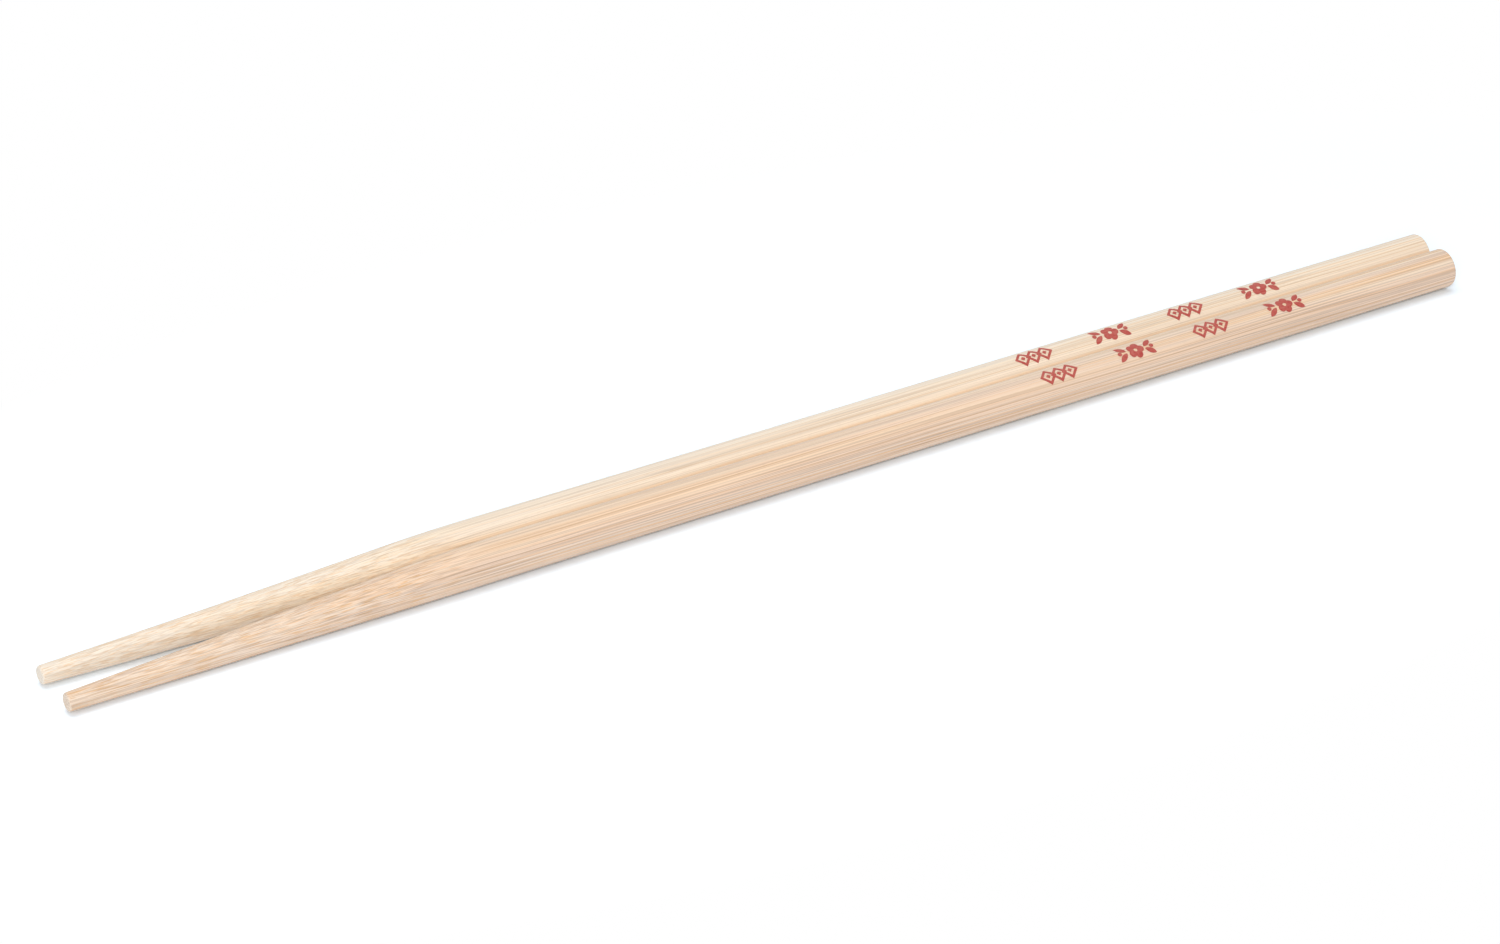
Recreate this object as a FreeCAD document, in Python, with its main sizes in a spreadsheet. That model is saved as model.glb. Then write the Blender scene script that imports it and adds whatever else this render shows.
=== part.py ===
"""A pair of round bamboo chopsticks lying side by side, each with a row of four small red printed marks.

Millimetres. X runs along the sticks, with the thick butt ends at +X and the thin tips at -X.
Y runs across the pair: the near stick is at -Y and the far stick at +Y. Z is up.
The origin is on the surface that the pair lies on, under the middle of its box.
"""
import FreeCAD, Part
import Sketcher
import os

SIZES = {
    # one stick, all one piece of bamboo
    "stick_length": 270.0,
    "shank_diameter": 7.0,
    "tip_diameter": 3.1,
    "taper_length": 68.0,
    "shoulder_length": 18.0,
    "end_rounding": 0.4,
    # the slight bend of its thin half
    "bend_length": 110.0,
    "side_bend": 1.2,
    "tip_lift": 0.5,
    # how the two sticks lie
    "pair_gap": 0.06,
    # the row of printed marks, counted from the butt end
    "first_mark": 37.0,
    "mark_pitch": 16.0,
    "ink_thickness": 0.04,
    "near_mark_tilt": 22.0,
    "far_mark_tilt": 16.0,
    # the blossom with two leaves and a bud on each side
    "blossom_diameter": 3.3,
    "petal_diameter": 1.4,
    "eye_diameter": 0.7,
    "leaf_length": 2.2,
    "leaf_width": 0.95,
    "leaf_turn": 35.0,
    "leaf_gap": 0.22,
    "root_gap": 0.44,
    "bud_diameter": 0.8,
    # the chain of three lozenges, each with a dot
    "lozenge_size": 3.3,
    "lozenge_line": 0.45,
    "lozenge_pitch": 2.2,
    "dot_size": 0.9,
}
PETALS = 5
MARKS = 4
NOSE_SPANS = 11
NEAR = -1
FAR = 1

doc = FreeCAD.newDocument("chopsticks")
sheet = doc.addObject("Spreadsheet::Sheet", "Sizes")
for row, (alias, size) in enumerate(SIZES.items(), start=1):
    sheet.set(f"A{row}", alias)
    sheet.set(f"B{row}", str(size))
    sheet.setAlias(f"B{row}", alias)
doc.recompute()

# Formulas of the sheet that several pieces share
SHANK_RADIUS = "(Sizes.shank_diameter / 2)"
TIP_RADIUS = "(Sizes.tip_diameter / 2)"
AXIS_Y = "((Sizes.shank_diameter + Sizes.pair_gap) / 2)"
BUTT_X = "(Sizes.stick_length / 2)"
TAPER_SLOPE = f"(({SHANK_RADIUS} - {TIP_RADIUS}) / Sizes.taper_length)"


def taper_radius(from_tip):
    """The stick's radius at a distance from its tip: the shank's, a rounded shoulder, then an even taper."""
    half = "(Sizes.shoulder_length / 2)"
    inside = f"(Sizes.taper_length - {from_tip})"
    on_shoulder = f"min(max({inside} + {half}; 0); Sizes.shoulder_length)"
    past_shoulder = f"max({inside} - {half}; 0)"
    narrowed = f"({on_shoulder} ^ 2 / (2 * Sizes.shoulder_length) + {past_shoulder})"
    return f"{SHANK_RADIUS} - {TAPER_SLOPE} * {narrowed}"


def section(body, side, from_tip):
    """A circle across the stick: the bend moves it outwards, and its lowest point leaves the surface by the tip."""
    outwards = f"Sizes.side_bend * (1 - {from_tip} / Sizes.bend_length) ^ 2"
    lift = f"Sizes.tip_lift * max(0; 1 - {from_tip} / Sizes.taper_length) ^ 2"
    sketch = body.newObject("Sketcher::SketchObject", "Section")
    plane = next(item for item in body.Origin.OriginFeatures if item.Role == "YZ_Plane")
    sketch.AttachmentSupport = [(plane, "")]
    sketch.MapMode = "FlatFace"
    sketch.setExpression("AttachmentOffset.Base.x", f"{side} * ({AXIS_Y} + {outwards})")
    sketch.setExpression("AttachmentOffset.Base.y", f"{taper_radius(from_tip)} + {lift}")
    sketch.setExpression("AttachmentOffset.Base.z", f"{from_tip} - {BUTT_X}")
    circle = sketch.addGeometry(Part.Circle(FreeCAD.Vector(), FreeCAD.Vector(0, 0, 1), SIZES["shank_diameter"]))
    # the circle's centre, its point 3, is held on the sketch's origin, which is point 1 of geometry -1
    sketch.addConstraint(Sketcher.Constraint("Coincident", circle, 3, -1, 1))
    radius = sketch.addConstraint(Sketcher.Constraint("Radius", circle, SIZES["shank_diameter"]))
    sketch.setExpression(f"Constraints[{radius}]", taper_radius(from_tip))
    return sketch


def round_ends(body, base):
    """Rounds the rims of the two flat ends: the edges furthest along the stick each way."""
    doc.recompute()
    edges = [(edge.CenterOfMass.x, f"Edge{number}") for number, edge in enumerate(base.Shape.Edges, start=1)]
    fillet = body.newObject("PartDesign::Fillet", "EndRounding")
    fillet.Base = (base, [min(edges)[1], max(edges)[1]])
    fillet.setExpression("Radius", "Sizes.end_rounding")


def chopstick(label, side):
    """A straight round shank, and a long nose that bends slightly outwards and tapers to a flat tip."""
    body = doc.addObject("PartDesign::Body", label)
    steps = range(NOSE_SPANS, -1, -1)
    sections = [section(body, side, f"({step} / {NOSE_SPANS} * Sizes.bend_length)") for step in steps]
    shank = body.newObject("PartDesign::Pad", "Shank")
    shank.Profile = sections[0]
    shank.setExpression("Length", "Sizes.stick_length - Sizes.bend_length")
    nose = body.newObject("PartDesign::AdditiveLoft", "Nose")
    nose.Profile = sections[0]
    nose.Sections = sections[1:]
    nose.Ruled = True
    round_ends(body, nose)
    return body


def post(kind, x, y, **formulas):
    """An upright post from the stick's axis out past the ink, part of the row of stamps."""
    item = doc.addObject(kind, "Stamp")
    item.setExpression("Height", "Sizes.shank_diameter")
    item.setExpression("Placement.Base.x", x)
    item.setExpression("Placement.Base.y", y)
    for name, formula in formulas.items():
        item.setExpression(name, formula)
    return item


def joined(kind, first, second):
    """A cut or common of two solids."""
    item = doc.addObject(kind, "Stamp")
    item.Base = first
    item.Tool = second
    return item


def blossom(x):
    """Petals round an open eye."""
    reach = "(Sizes.blossom_diameter - Sizes.petal_diameter) / 2"
    petals = doc.addObject("Part::MultiFuse", "Petals")
    petals.Shapes = [
        post("Part::Cylinder", f"{x} + {reach} * cos({turn} deg)", f"{reach} * sin({turn} deg)",
             Radius="Sizes.petal_diameter / 2")
        for turn in (number * 360 / PETALS for number in range(PETALS))
    ]
    return joined("Part::Cut", petals, post("Part::Cylinder", x, "0", Radius="Sizes.eye_diameter / 2"))


def leaf(x, along, across):
    """A pointed leaf where two round posts overlap, pointing away from the blossom along and across the row."""
    half_length = "Sizes.leaf_length / 2"
    cosine = "cos(Sizes.leaf_turn * 1 deg)"
    sine = "sin(Sizes.leaf_turn * 1 deg)"
    middle_x = f"{x} + {along} * (Sizes.blossom_diameter / 2 + Sizes.leaf_gap + {half_length} * {cosine})"
    middle_y = f"{across} * (Sizes.root_gap / 2 + {half_length} * {sine})"
    radius = "(Sizes.leaf_length ^ 2 + Sizes.leaf_width ^ 2) / (4 * Sizes.leaf_width)"
    offset = f"({radius} - Sizes.leaf_width / 2)"
    sides = [
        post("Part::Cylinder", f"{middle_x} - {along * across * side} * {offset} * {sine}",
             f"{middle_y} + {side} * {offset} * {cosine}", Radius=radius)
        for side in (NEAR, FAR)
    ]
    return joined("Part::Common", *sides)


def bud(x, along):
    """A round bud between the tips of two leaves."""
    reach = "Sizes.leaf_gap + Sizes.leaf_length * cos(Sizes.leaf_turn * 1 deg) - Sizes.bud_diameter / 2"
    return post("Part::Cylinder", f"{x} + {along} * (Sizes.blossom_diameter / 2 + {reach})", "0",
                Radius="Sizes.bud_diameter / 2")


def square_post(x, width):
    """A square post that stands on its corner in the row, as wide as that from corner to corner."""
    item = post("Part::Prism", x, "0", Circumradius=f"{width} / 2")
    item.Polygon = 4
    return item


def lozenge(x):
    """A square set on its corner, drawn as a line of even width."""
    outer = square_post(x, "Sizes.lozenge_size")
    inner = square_post(x, "(Sizes.lozenge_size - 2 * Sizes.lozenge_line * sqrt(2))")
    return joined("Part::Cut", outer, inner)


def mark_stamps(number):
    """The stamps of one mark: a blossom between leaves and a chain of lozenges take turns along the row."""
    x = f"-(Sizes.first_mark + {number} * Sizes.mark_pitch)"
    if number % 2 == 0:
        leaves = [leaf(x, along, across) for along in (NEAR, FAR) for across in (NEAR, FAR)]
        return [blossom(x), bud(x, NEAR), bud(x, FAR)] + leaves
    places = [f"{x} + {step} * Sizes.lozenge_pitch" for step in (-1, 0, 1)]
    return [lozenge(place) for place in places] + [square_post(place, "Sizes.dot_size") for place in places]


def ink_skin():
    """A thin tube round the shank along the row of marks, with the butt end of the stick's axis at its origin."""
    walls = []
    for radius in (f"{SHANK_RADIUS} + Sizes.ink_thickness", SHANK_RADIUS):
        wall = doc.addObject("Part::Cylinder", "Skin")
        wall.Placement.Rotation = FreeCAD.Rotation(FreeCAD.Vector(0, 1, 0), 90)
        wall.setExpression("Radius", radius)
        wall.setExpression("Height", f"{MARKS} * Sizes.mark_pitch")
        wall.setExpression("Placement.Base.x", f"-(Sizes.first_mark + {MARKS - 0.5} * Sizes.mark_pitch)")
        walls.append(wall)
    return joined("Part::Cut", *walls)


def printed_row(label, side, stamps, skin, tilt):
    """The ink of one stick: the stamps cut out of the skin, laid on the shank and turned towards the near side."""
    ink = doc.addObject("Part::Common", label)
    ink.Base = stamps
    ink.Tool = skin
    ink.Placement.Rotation = FreeCAD.Rotation(FreeCAD.Vector(1, 0, 0), 1)
    ink.setExpression("Placement.Rotation.Angle", tilt)
    ink.setExpression("Placement.Base.x", BUTT_X)
    ink.setExpression("Placement.Base.y", f"{side} * {AXIS_Y}")
    ink.setExpression("Placement.Base.z", SHANK_RADIUS)
    return ink


row_of_stamps = doc.addObject("Part::MultiFuse", "RowOfStamps")
row_of_stamps.Shapes = [stamp for number in range(MARKS) for stamp in mark_stamps(number)]
skin = ink_skin()
pieces = [
    chopstick("near_stick", NEAR),
    chopstick("far_stick", FAR),
    printed_row("near_print", NEAR, row_of_stamps, skin, "Sizes.near_mark_tilt"),
    printed_row("far_print", FAR, row_of_stamps, skin, "Sizes.far_mark_tilt"),
]
doc.recompute()

for item in doc.Objects:
    if "Invalid" in item.State or "Error" in item.State:
        raise RuntimeError(f"{item.Name} failed: {item.State}")
for piece in pieces:
    if piece.Shape.isNull() or not piece.Shape.isValid():
        raise RuntimeError(f"{piece.Label} has no valid shape")

os.makedirs("parts", exist_ok=True)
for piece in pieces:
    piece.Shape.exportStep(f"parts/{piece.Label}.step")
    box = piece.Shape.BoundBox
    print(piece.Label, len(piece.Shape.Solids), "solids", round(piece.Shape.Volume, 3), "mm3",
          [round(v, 3) for v in (box.XMin, box.XMax, box.YMin, box.YMax, box.ZMin, box.ZMax)])
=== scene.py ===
"""A pair of round bamboo chopsticks with small red printed marks, lying on a white table."""
import math

import bpy
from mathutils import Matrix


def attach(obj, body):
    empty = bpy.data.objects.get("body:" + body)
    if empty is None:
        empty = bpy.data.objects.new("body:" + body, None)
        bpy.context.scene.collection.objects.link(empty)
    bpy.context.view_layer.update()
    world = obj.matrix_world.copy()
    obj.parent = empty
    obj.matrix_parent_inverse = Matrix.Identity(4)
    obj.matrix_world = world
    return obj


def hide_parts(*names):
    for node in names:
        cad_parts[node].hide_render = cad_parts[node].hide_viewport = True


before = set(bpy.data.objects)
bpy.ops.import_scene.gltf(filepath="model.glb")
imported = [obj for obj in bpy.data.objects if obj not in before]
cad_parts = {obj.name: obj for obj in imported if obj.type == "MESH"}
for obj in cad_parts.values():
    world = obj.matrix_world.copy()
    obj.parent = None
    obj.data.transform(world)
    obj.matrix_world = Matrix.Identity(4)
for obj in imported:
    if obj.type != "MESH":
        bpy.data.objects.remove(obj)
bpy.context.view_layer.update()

# The near stick: one piece of bamboo, split from the wall of a culm, turned round and then tapered
# over its last quarter. Both ends are sawn square and their rims are eased on a sanding belt.
# Turning leaves a shank that is only nearly round, with the harder fibres standing a trace proud.
STICK_LENGTH = 0.270
SHANK_RADIUS = 0.0035
TIP_RADIUS = 0.00155
TAPER_LENGTH = 0.068
SHOULDER_LENGTH = 0.018
END_ROUNDING = 0.0004
BEND_LENGTH = 0.110
SIDE_BEND = 0.0012
TIP_LIFT = 0.0005
AXIS_TO_MIDDLE = 0.00353
FIBRE_RELIEF = 0.000016
OUT_OF_ROUND = 0.00004
NEAR = -1
FAR = 1
MILLIMETRES = 1000.0


def reckon(tree, operation, *terms):
    """One sum in a tree: each term is a number or what another node gives."""
    node = tree.nodes.new("ShaderNodeMath")
    node.operation = operation
    for socket, term in zip(node.inputs, terms):
        if isinstance(term, bpy.types.NodeSocket):
            tree.links.new(term, socket)
        else:
            socket.default_value = term
    return node.outputs[0]


def share(tree, value, start, end):
    """How far a value has come from a start to an end, held between 0 and 1."""
    come = reckon(tree, "SUBTRACT", value, start)
    held = reckon(tree, "DIVIDE", come, reckon(tree, "SUBTRACT", end, start))
    held.node.use_clamp = True
    return held


def point(tree, x, y, z):
    """Three values as one vector."""
    node = tree.nodes.new("ShaderNodeCombineXYZ")
    for socket, term in zip(node.inputs, (x, y, z)):
        if isinstance(term, bpy.types.NodeSocket):
            tree.links.new(term, socket)
        else:
            socket.default_value = term
    return node.outputs[0]


def cloud(tree, place, scale, detail=2.0):
    """Smooth noise at a place, from 0 to 1."""
    node = tree.nodes.new("ShaderNodeTexNoise")
    node.inputs["Scale"].default_value = scale
    node.inputs["Detail"].default_value = detail
    tree.links.new(place, node.inputs["Vector"])
    return node.outputs["Fac"]


def turned_stick():
    """The tree that turns a stick: rows of points run from the middle of the tip's face to the butt's."""
    tree = bpy.data.node_groups.new("turned_stick", "GeometryNodeTree")
    numbers = (
        "Length", "Shank Radius", "Tip Radius", "Taper Length", "Shoulder Length", "End Rounding",
        "Bend Length", "Side Bend", "Tip Lift", "Axis To Middle", "Side", "Fibre Relief", "Out Of Round",
    )
    kinds = {**dict.fromkeys(numbers, "Float"), "Rows": "Int", "Around": "Int", "Bamboo": "Material"}
    for label, kind in kinds.items():
        tree.interface.new_socket(name=label, in_out="INPUT", socket_type=f"NodeSocket{kind}")
    tree.interface.new_socket(name="Stick", in_out="OUTPUT", socket_type="NodeSocketGeometry")
    given = tree.nodes.new("NodeGroupInput").outputs

    def sums(operation, *terms):
        return reckon(tree, operation, *terms)

    sheet = tree.nodes.new("GeometryNodeMeshGrid")
    tree.links.new(given["Rows"], sheet.inputs["Vertices X"])
    tree.links.new(given["Around"], sheet.inputs["Vertices Y"])
    parts = tree.nodes.new("ShaderNodeSeparateXYZ")
    tree.links.new(sheet.outputs["UV Map"], parts.inputs[0])
    along = parts.outputs[0]
    around = sums("MULTIPLY", parts.outputs[1], math.tau)

    # a few rows cross each flat end and each rounded rim, and the rest are even along the stick
    face_rows = 0.02
    rim_rows = 0.04
    quarter = math.pi / 2
    tip_face = share(tree, along, 0.0, face_rows)
    tip_turn = sums("MULTIPLY", share(tree, along, face_rows, rim_rows), quarter)
    body = share(tree, along, rim_rows, 1.0 - rim_rows)
    butt_turn = sums("MULTIPLY", share(tree, along, 1.0 - rim_rows, 1.0 - face_rows), quarter)
    butt_face = sums("SUBTRACT", 1.0, share(tree, along, 1.0 - face_rows, 1.0))
    rounding = given["End Rounding"]
    between = sums("SUBTRACT", given["Length"], sums("MULTIPLY", rounding, 2.0))
    from_tip = sums("MULTIPLY", rounding, sums("SUBTRACT", 1.0, sums("COSINE", tip_turn)))
    from_tip = sums("ADD", from_tip, sums("MULTIPLY", body, between))
    from_tip = sums("ADD", from_tip, sums("MULTIPLY", rounding, sums("SINE", butt_turn)))

    # the shank's radius, then a rounded shoulder, then an even taper to the tip
    half = sums("DIVIDE", given["Shoulder Length"], 2.0)
    inside = sums("SUBTRACT", given["Taper Length"], from_tip)
    on_shoulder = sums("MAXIMUM", sums("ADD", inside, half), 0.0)
    on_shoulder = sums("MINIMUM", on_shoulder, given["Shoulder Length"])
    narrowed = sums("MULTIPLY", on_shoulder, on_shoulder)
    narrowed = sums("DIVIDE", narrowed, sums("MULTIPLY", given["Shoulder Length"], 2.0))
    narrowed = sums("ADD", narrowed, sums("MAXIMUM", sums("SUBTRACT", inside, half), 0.0))
    slope = sums("SUBTRACT", given["Shank Radius"], given["Tip Radius"])
    slope = sums("DIVIDE", slope, given["Taper Length"])
    round_radius = sums("SUBTRACT", given["Shank Radius"], sums("MULTIPLY", slope, narrowed))

    # the thin half bends a little outwards, and the tip lifts clear of the table
    bend = sums("MAXIMUM", sums("SUBTRACT", 1.0, sums("DIVIDE", from_tip, given["Bend Length"])), 0.0)
    out = sums("MULTIPLY", sums("MULTIPLY", bend, bend), given["Side Bend"])
    axis_y = sums("MULTIPLY", sums("ADD", given["Axis To Middle"], out), given["Side"])
    rise = sums("MAXIMUM", sums("SUBTRACT", 1.0, sums("DIVIDE", from_tip, given["Taper Length"])), 0.0)
    rise = sums("MULTIPLY", sums("MULTIPLY", rise, rise), given["Tip Lift"])
    axis_z = sums("ADD", round_radius, rise)

    # the rims are eased to a quarter round, and each flat end closes in its middle
    tip_eased = sums("MULTIPLY", rounding, sums("SUBTRACT", 1.0, sums("SINE", tip_turn)))
    butt_eased = sums("MULTIPLY", rounding, sums("SUBTRACT", 1.0, sums("COSINE", butt_turn)))
    radius = sums("SUBTRACT", sums("SUBTRACT", round_radius, tip_eased), butt_eased)
    radius = sums("MULTIPLY", sums("MULTIPLY", radius, tip_face), butt_face)

    # soft wood between the fibres is worn in by hundredths of a millimetre, always inwards
    side_y, side_z = sums("COSINE", around), sums("SINE", around)
    x = sums("SUBTRACT", from_tip, sums("DIVIDE", given["Length"], 2.0))
    grain_y = sums("ADD", axis_y, sums("MULTIPLY", side_y, round_radius))
    grain_z = sums("ADD", axis_z, sums("MULTIPLY", side_z, round_radius))

    def ridges(stretch, per_metre):
        """Noise drawn out along the stick, with so many ridges in a metre across it."""
        return cloud(tree, point(tree, sums("MULTIPLY", x, stretch), grain_y, grain_z), per_metre)

    fine = ridges(stretch=0.03, per_metre=1800.0)
    broad = ridges(stretch=0.15, per_metre=160.0)
    worn = sums("MULTIPLY", fine, given["Fibre Relief"])
    worn = sums("ADD", worn, sums("MULTIPLY", broad, given["Out Of Round"]))
    worn = sums("MULTIPLY", worn, sums("MULTIPLY", tip_face, butt_face))
    radius = sums("SUBTRACT", radius, worn)
    y = sums("ADD", axis_y, sums("MULTIPLY", side_y, radius))
    z = sums("ADD", axis_z, sums("MULTIPLY", side_z, radius))

    # rolled up this way the sheet faces inwards, so its faces are turned once its seam and ends are welded
    shaped = tree.nodes.new("GeometryNodeSetPosition")
    tree.links.new(sheet.outputs["Mesh"], shaped.inputs["Geometry"])
    tree.links.new(point(tree, x, y, z), shaped.inputs["Position"])
    closed = tree.nodes.new("GeometryNodeMergeByDistance")
    weld = 4e-7
    closed.inputs["Distance"].default_value = weld
    outward = tree.nodes.new("GeometryNodeFlipFaces")
    smooth = tree.nodes.new("GeometryNodeSetShadeSmooth")
    real = tree.nodes.new("GeometryNodeRealizeInstances")
    finish = tree.nodes.new("GeometryNodeSetMaterial")
    tree.links.new(given["Bamboo"], finish.inputs["Material"])
    chain = [shaped, closed, outward, smooth, real, finish, tree.nodes.new("NodeGroupOutput")]
    for before, after in zip(chain, chain[1:]):
        tree.links.new(before.outputs[0], after.inputs[0])
    return tree


def made(name, tree, settings):
    """The plain mesh that a tree makes with these settings, as an object at the origin."""
    piece = bpy.data.objects.new(name, bpy.data.meshes.new(name))
    bpy.context.scene.collection.objects.link(piece)
    maker = piece.modifiers.new("Maker", "NODES")
    maker.node_group = tree
    sockets = {item.name: item.identifier for item in tree.interface.items_tree if item.in_out == "INPUT"}
    for label, setting in settings.items():
        maker[sockets[label]] = setting
    mesh = bpy.data.meshes.new_from_object(piece.evaluated_get(bpy.context.evaluated_depsgraph_get()))
    piece.modifiers.remove(maker)
    piece.data = mesh
    mesh.name = name
    return piece


def bamboo(name, pale, warm, rosy, tan, brown, grain_shift, side, crowded_and_painted_light_turn, warm_turn, streaks, valley_shade_strength):
    """Bare sanded bamboo. The fibre bundles run along X: streaks on the shank, dots on the sawn ends."""
    finish = bpy.data.materials.new(name)
    finish.use_nodes = True
    tree = finish.node_tree
    wood = tree.nodes["Principled BSDF"]

    def sums(operation, *terms):
        return reckon(tree, operation, *terms)

    def blend(factor, first, second):
        node = tree.nodes.new("ShaderNodeMix")
        node.data_type = "RGBA"
        tree.links.new(factor, node.inputs[0])
        for socket, colour in zip((node.inputs[6], node.inputs[7]), (first, second)):
            if isinstance(colour, bpy.types.NodeSocket):
                tree.links.new(colour, socket)
            else:
                socket.default_value = (*colour, 1.0)
        return node.outputs[2]

    # the place in millimetres, the grain wandering slowly across the stick along its length
    place = tree.nodes.new("ShaderNodeSeparateXYZ")
    tree.links.new(tree.nodes.new("ShaderNodeTexCoord").outputs["Object"], place.inputs[0])
    x, y, z = (sums("MULTIPLY", out, MILLIMETRES) for out in place.outputs)
    wander_width = 0.6
    wanders_per_mm = 0.012
    wander_y = sums("SUBTRACT", cloud(tree, point(tree, x, grain_shift, 0.0), wanders_per_mm, 1.0), 0.5)
    wander_z = sums("SUBTRACT", cloud(tree, point(tree, x, 0.0, grain_shift), wanders_per_mm, 1.0), 0.5)
    grain_y = sums("ADD", sums("MULTIPLY_ADD", wander_y, wander_width, y), grain_shift)
    grain_z = sums("MULTIPLY_ADD", wander_z, wander_width, z)

    def grain(stretch, per_mm, detail=1.0, turned=False):
        """Noise drawn out along the stick, with so many spots in a millimetre across it."""
        sideways = (grain_z, grain_y) if turned else (grain_y, grain_z)
        return cloud(tree, point(tree, sums("MULTIPLY", x, stretch), *sideways), per_mm, detail)

    # how far the taper has begun, and which parts are the flat ends
    shoulder = (TAPER_LENGTH - STICK_LENGTH / 2) * MILLIMETRES
    tapered = sums("SUBTRACT", 1.0, share(tree, x, shoulder - 7.0, shoulder + 9.0))
    stick_end = STICK_LENGTH / 2 * MILLIMETRES
    sawn = share(tree, sums("ABSOLUTE", x), stick_end - 0.3, stick_end - 0.05)

    # the fibres crowd together on the side that faced the culm's outer skin, and one side is warmer.
    # The crowded side is also painted rosier: painted light, standing in for the pinker light bounced onto
    # that flank
    across = sums("SUBTRACT", y, side * AXIS_TO_MIDDLE * MILLIMETRES)
    up = sums("SUBTRACT", z, SHANK_RADIUS * MILLIMETRES)

    def towards(turn):
        """How many millimetres a place lies from the stick's axis, towards one side."""
        return sums("MULTIPLY_ADD", across, math.cos(turn), sums("MULTIPLY", up, math.sin(turn)))

    crowded_and_painted_light = share(tree, towards(crowded_and_painted_light_turn), 2.3, 3.2)

    # bundles of hard fibre, each with its own strength, and the open vessel in the middle of a few
    cells = tree.nodes.new("ShaderNodeTexVoronoi")
    cells.voronoi_dimensions = "2D"
    bundles_per_mm = 2.3
    cells.inputs["Scale"].default_value = bundles_per_mm
    tree.links.new(point(tree, grain_y, grain_z, 0.0), cells.inputs["Vector"])
    strength = tree.nodes.new("ShaderNodeSeparateXYZ")
    tree.links.new(cells.outputs["Color"], strength.inputs[0])
    bundle = sums("SUBTRACT", 1.0, share(tree, cells.outputs["Distance"], 0.24, 0.40))
    bundle = sums("MULTIPLY", bundle, share(tree, strength.outputs[0], 0.1, 0.9))
    faded_on_taper = sums("MULTIPLY_ADD", tapered, -0.6, 1.0)
    bundle = sums("MULTIPLY", bundle, faded_on_taper)
    vessel = sums("SUBTRACT", 1.0, share(tree, cells.outputs["Distance"], 0.06, 0.16))
    vessel = sums("MULTIPLY", vessel, share(tree, strength.outputs[1], 0.6, 0.9))

    # fine fibres between them, and broad bands of warmer and rosier wood
    hair = share(tree, grain(stretch=0.003, per_mm=6.4), 0.48, 0.56)
    vein = sums("ABSOLUTE", sums("SUBTRACT", grain(stretch=0.004, per_mm=2.5, turned=True), 0.5))
    vein = sums("SUBTRACT", 1.0, share(tree, vein, 0.0, 0.05))
    stronger_where_crowded = sums("MULTIPLY_ADD", crowded_and_painted_light, 0.26, 0.15)
    vein = sums("MULTIPLY", vein, stronger_where_crowded)
    leaning_warm = sums("MULTIPLY_ADD", towards(warm_turn), 0.10, grain(stretch=0.008, per_mm=0.6))
    band = share(tree, leaning_warm, 0.64, 0.82)
    blush = share(tree, grain(stretch=0.015, per_mm=0.9, turned=True), 0.48, 0.62)
    fleck = share(tree, grain(stretch=0.25, per_mm=3.2, detail=2.0), 0.60, 0.72)

    # the taper cuts across the bundles, which end there in short feathered dashes
    dash = sums("MULTIPLY", share(tree, grain(stretch=0.035, per_mm=7.0), 0.53, 0.60), tapered)

    # painted shade: a faint brown line on the straight flank that faces the other stick, standing in for
    # the shade in the narrow valley between the two sticks
    flank = sums("LESS_THAN", sums("MULTIPLY", across, side), 0.0)
    valley_shade_height = 1.5 * SHANK_RADIUS * MILLIMETRES
    valley_shade = sums("ABSOLUTE", sums("SUBTRACT", z, valley_shade_height))
    valley_shade = sums("SUBTRACT", 1.0, share(tree, valley_shade, 0.08, 0.30))
    valley_shade = sums("MULTIPLY", valley_shade, sums("MULTIPLY", flank, sums("SUBTRACT", 1.0, tapered)))

    # the flat ends were sawn last and are painted the palest wood: partly that fresh wood, partly painted
    # light that lifts end faces the lamps reach less than the sides
    fresh_and_painted_light = tuple((1.0 + 5.0 * channel) / 6 for channel in pale)

    # each tint goes over the ones before it, as strongly as its number says
    rose = sums("MAXIMUM", sums("MULTIPLY", blush, 0.45), sums("MULTIPLY", crowded_and_painted_light, 0.6))
    rose = sums("MAXIMUM", rose, sums("MULTIPLY", tapered, 0.3))
    colour = blend(rose, blend(band, pale, warm), rosy)
    for spread, strength, tint in (
        (dash, 0.65, tan),
        (sawn, 0.8, fresh_and_painted_light),
        (bundle, 0.7, tan),
        (hair, 0.27 * streaks, brown),
        (vein, streaks, brown),
        (valley_shade, valley_shade_strength, tan),
        (fleck, 0.08, brown),
        (vessel, 0.35, brown),
    ):
        colour = blend(sums("MULTIPLY", spread, strength), colour, tint)
    tree.links.new(colour, wood.inputs["Base Color"])

    # the bundles are sanded smoother than the fine fibres, both stand a trace proud, and vessels are pits
    rough = sums("MULTIPLY_ADD", hair, 0.10, 0.50)
    tree.links.new(sums("MULTIPLY_ADD", bundle, -0.08, rough), wood.inputs["Roughness"])
    height = sums("MULTIPLY_ADD", bundle, 0.7, sums("MULTIPLY", hair, 0.5))
    height = sums("SUBTRACT", height, vessel)
    relief = tree.nodes.new("ShaderNodeBump")
    relief.inputs["Strength"].default_value = 0.35
    relief.inputs["Distance"].default_value = 0.00002
    tree.links.new(height, relief.inputs["Height"])
    tree.links.new(relief.outputs[0], wood.inputs["Normal"])
    return finish


stick_tree = turned_stick()
stick_sizes = {
    "Length": STICK_LENGTH, "Shank Radius": SHANK_RADIUS, "Tip Radius": TIP_RADIUS,
    "Taper Length": TAPER_LENGTH, "Shoulder Length": SHOULDER_LENGTH, "End Rounding": END_ROUNDING,
    "Bend Length": BEND_LENGTH, "Side Bend": SIDE_BEND, "Tip Lift": TIP_LIFT,
    "Axis To Middle": AXIS_TO_MIDDLE, "Fibre Relief": FIBRE_RELIEF, "Out Of Round": OUT_OF_ROUND,
    "Rows": 480, "Around": 161,
}
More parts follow.
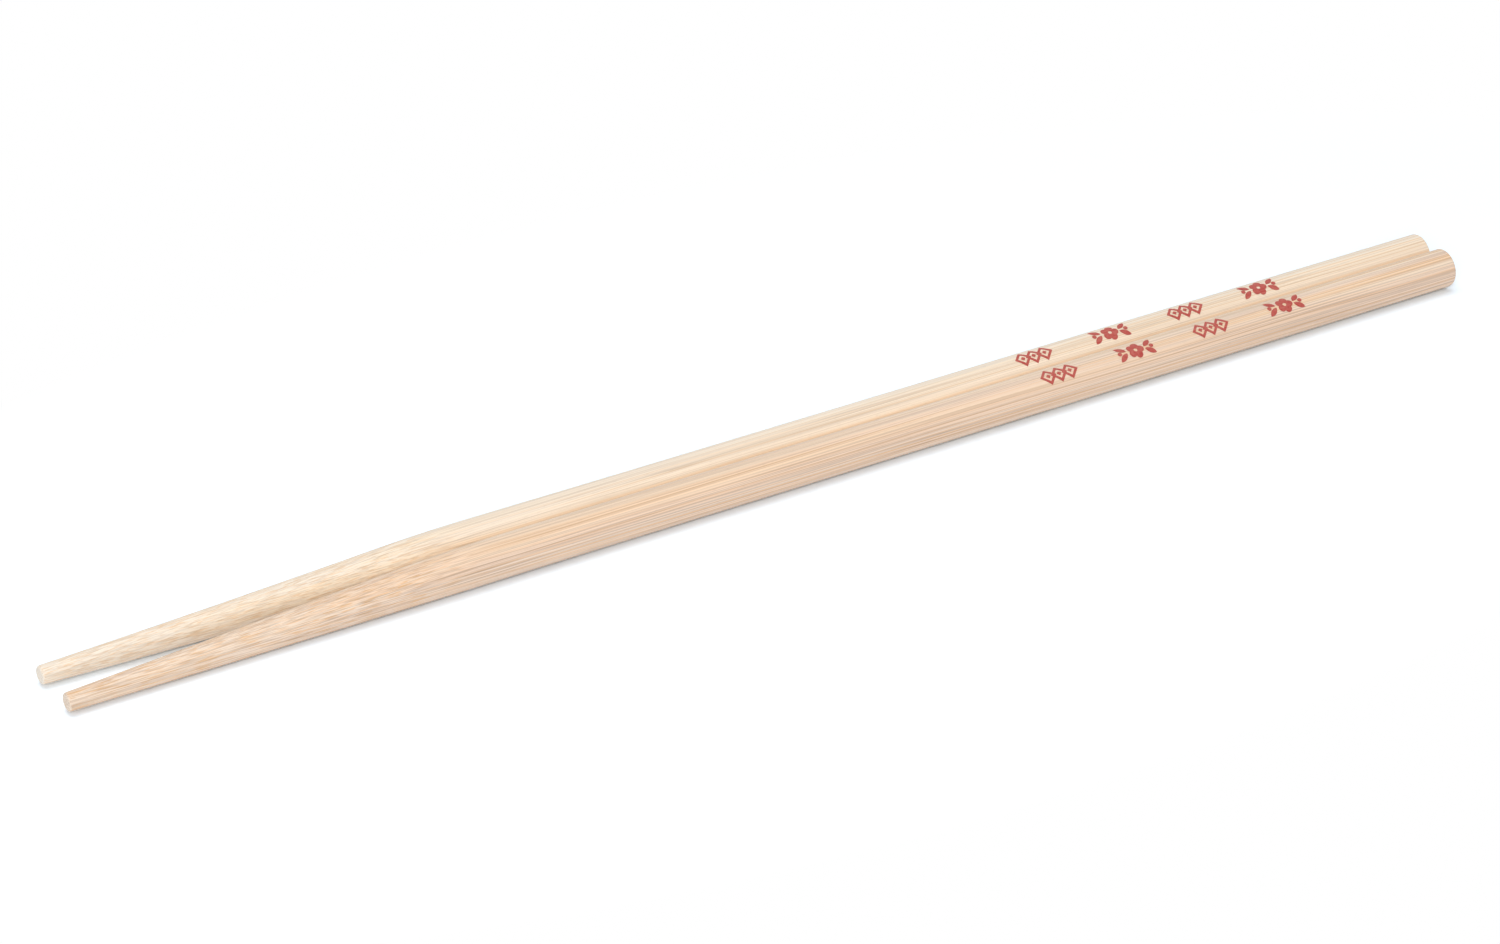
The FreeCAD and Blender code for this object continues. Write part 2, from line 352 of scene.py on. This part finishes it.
# the near stick's front flank is painted rosier, as painted bounce light from the table
near_bamboo = bamboo(
    "near_bamboo", pale=(0.90, 0.74, 0.58), warm=(0.90, 0.66, 0.46), rosy=(0.86, 0.68, 0.57),
    tan=(0.80, 0.47, 0.21), brown=(0.30, 0.16, 0.09), grain_shift=3.0, side=NEAR,
    crowded_and_painted_light_turn=math.radians(180), warm_turn=math.radians(140), streaks=1.0, valley_shade_strength=0.0,
)
near_sizes = {**stick_sizes, "Side": float(NEAR), "Bamboo": near_bamboo}
near_bamboo_stick = made("near_bamboo_stick", stick_tree, near_sizes)
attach(near_bamboo_stick, "root")
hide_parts("near_stick")

# The far stick: the same turning from a paler, yellower strip of bamboo. It lies against the near one
# along the straight shanks, and the two part a little towards the tips.
# its flank against the near stick carries the painted shade line of the valley between them
far_bamboo = bamboo(
    "far_bamboo", pale=(0.97, 0.88, 0.75), warm=(0.98, 0.83, 0.62), rosy=(0.94, 0.79, 0.65),
    tan=(0.86, 0.59, 0.34), brown=(0.32, 0.19, 0.11), grain_shift=17.0, side=FAR,
    crowded_and_painted_light_turn=math.radians(130), warm_turn=math.radians(150), streaks=0.7, valley_shade_strength=0.5,
)
far_sizes = {**stick_sizes, "Side": float(FAR), "Bamboo": far_bamboo}
far_bamboo_stick = made("far_bamboo_stick", stick_tree, far_sizes)
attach(far_bamboo_stick, "root")
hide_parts("far_stick")

# The printed marks: brick red ink, stamped on the finished sticks near their butt ends. It has soaked
# into the soft wood and lies thinner on the hard fibres, so the grain shows through it faintly.
red_ink = bpy.data.materials.new("red_ink")
red_ink.use_nodes = True
ink_tree = red_ink.node_tree
ink = ink_tree.nodes["Principled BSDF"]
ink_place = ink_tree.nodes.new("ShaderNodeSeparateXYZ")
ink_tree.links.new(ink_tree.nodes.new("ShaderNodeTexCoord").outputs["Object"], ink_place.inputs[0])
ink_x, ink_y, ink_z = (reckon(ink_tree, "MULTIPLY", out, MILLIMETRES) for out in ink_place.outputs)
drawn_out = point(ink_tree, reckon(ink_tree, "MULTIPLY", ink_x, 0.05), ink_y, ink_z)
ink_grain = share(ink_tree, cloud(ink_tree, drawn_out, scale=5.0, detail=3.0), 0.42, 0.72)
even = point(ink_tree, ink_x, ink_y, ink_z)
ink_blot = share(ink_tree, cloud(ink_tree, even, scale=1.6, detail=3.0), 0.35, 0.75)
thinned = reckon(ink_tree, "MULTIPLY", reckon(ink_tree, "MAXIMUM", ink_grain, ink_blot), 0.6)
THICK_INK = (0.42, 0.042, 0.034)
THIN_INK = (0.60, 0.20, 0.15)
worn_ink = ink_tree.nodes.new("ShaderNodeMix")
worn_ink.data_type = "RGBA"
ink_tree.links.new(thinned, worn_ink.inputs[0])
worn_ink.inputs[6].default_value = (*THICK_INK, 1.0)
worn_ink.inputs[7].default_value = (*THIN_INK, 1.0)
ink_tree.links.new(worn_ink.outputs[2], ink.inputs["Base Color"])
ink.inputs["Roughness"].default_value = 0.62
for print_name in ("near_print", "far_print"):
    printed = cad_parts[print_name]
    printed.data.materials.clear()
    printed.data.materials.append(red_ink)

# The table: a smooth white studio sheet. Around the sticks the camera sees it lit up to white, with
# their soft shadow, and further off as plain white. To everything else it is plain white paint.
HALF_SHEET = 4.0
SHADOW_REACH = 0.15
PLAIN_WHITE_FROM = 0.21
WHITE_PAINT = (0.94, 0.96, 0.98)
# over 1, and bluish against the wood's warm bounce, so that the plain lamp light reads as white on it
LIT_WHITE = (1.08, 1.19, 1.30)
sheet_corners = [(x * HALF_SHEET, y * HALF_SHEET, 0.0) for x, y in ((-1, -1), (1, -1), (1, 1), (-1, 1))]
sheet_mesh = bpy.data.meshes.new("table_sheet")
sheet_mesh.from_pydata(sheet_corners, [], [(0, 1, 2, 3)])
table_sheet = bpy.data.objects.new("table_sheet", sheet_mesh)
bpy.context.scene.collection.objects.link(table_sheet)
white = bpy.data.materials.new("table_white")
white.use_nodes = True
white_tree = white.node_tree
white_tree.nodes.remove(white_tree.nodes["Principled BSDF"])
paint = white_tree.nodes.new("ShaderNodeBsdfDiffuse")
paint.inputs["Color"].default_value = (*WHITE_PAINT, 1.0)
lit = white_tree.nodes.new("ShaderNodeBsdfDiffuse")
lit.inputs["Color"].default_value = (*LIT_WHITE, 1.0)
glow = white_tree.nodes.new("ShaderNodeEmission")
glow.inputs["Color"].default_value = (1.0, 1.0, 1.0, 1.0)
glow.inputs["Strength"].default_value = 1.0

# an oval round the pair, twice as long as it is wide, inside which the sheet shows the shadow
oval = white_tree.nodes.new("ShaderNodeVectorMath")
oval.operation = "MULTIPLY"
oval.inputs[1].default_value = (1.0, 2.0, 0.0)
white_tree.links.new(white_tree.nodes.new("ShaderNodeTexCoord").outputs["Object"], oval.inputs[0])
from_middle = white_tree.nodes.new("ShaderNodeVectorMath")
from_middle.operation = "LENGTH"
white_tree.links.new(oval.outputs["Vector"], from_middle.inputs[0])
away = white_tree.nodes.new("ShaderNodeMixShader")
faded = share(white_tree, from_middle.outputs["Value"], SHADOW_REACH, PLAIN_WHITE_FROM)
white_tree.links.new(faded, away.inputs[0])
white_tree.links.new(lit.outputs[0], away.inputs[1])
white_tree.links.new(glow.outputs[0], away.inputs[2])


def seen_by_eye(tree):
    """1 for a ray that shows the surface itself, straight or in a gloss or a glass, and 0 for its light."""
    rays = tree.nodes.new("ShaderNodeLightPath").outputs
    seen = reckon(tree, "MAXIMUM", rays["Is Camera Ray"], rays["Is Glossy Ray"])
    return reckon(tree, "MAXIMUM", seen, rays["Is Transmission Ray"])


choice = white_tree.nodes.new("ShaderNodeMixShader")
white_tree.links.new(seen_by_eye(white_tree), choice.inputs[0])
white_tree.links.new(paint.outputs[0], choice.inputs[1])
white_tree.links.new(away.outputs[0], choice.inputs[2])
white_tree.links.new(choice.outputs[0], white_tree.nodes["Material Output"].inputs["Surface"])
sheet_mesh.materials.append(white)

# The light: an even white room and two soft round lamps. The broad one hangs overhead, and the smaller
# one stands in front and well towards the tips, so it also lights their sawn ends.
room = bpy.data.worlds.new("white_room")
bpy.context.scene.world = room
room.use_nodes = True
room_tree = room.node_tree
backdrop = room_tree.nodes["Background"]
backdrop.inputs["Color"].default_value = (1.0, 1.0, 1.0, 1.0)
ROOM_LIGHT = 0.38
room_glow = reckon(room_tree, "MAXIMUM", seen_by_eye(room_tree), ROOM_LIGHT)
room_tree.links.new(room_glow, backdrop.inputs["Strength"])
for name, size, watts, place in (
    ("overhead_lamp", 1.3, 9.7, (-0.08, 0.0, 1.44)),
    ("front_lamp", 0.7, 7.7, (-0.72, -0.95, 0.78)),
):
    light = bpy.data.lights.new(name, "AREA")
    light.shape = "DISK"
    light.size = size
    light.energy = watts
    lamp = bpy.data.objects.new(name, light)
    lamp.location = place
    lamp.rotation_euler = (-lamp.location).to_track_quat("-Z", "Y").to_euler()
    lamp.visible_camera = False
    bpy.context.scene.collection.objects.link(lamp)

# The camera: a long lens in front of the tips and to their left, looking down by about 29 degrees. Its
# place, turns and lens were solved from the outlines of both sticks.
CAMERA_PLACE = (-0.39321, -0.60593, 0.39710)
TILT = math.radians(61.208)
TURN = math.radians(-32.391)
lens = bpy.data.cameras.new("camera")
lens.sensor_width = 36.0
lens.lens = 119.34
camera = bpy.data.objects.new("camera", lens)
camera.location = CAMERA_PLACE
camera.rotation_euler = (TILT, 0.0, TURN)
bpy.context.scene.collection.objects.link(camera)
bpy.context.scene.camera = camera
bpy.context.scene.view_settings.view_transform = "Standard"
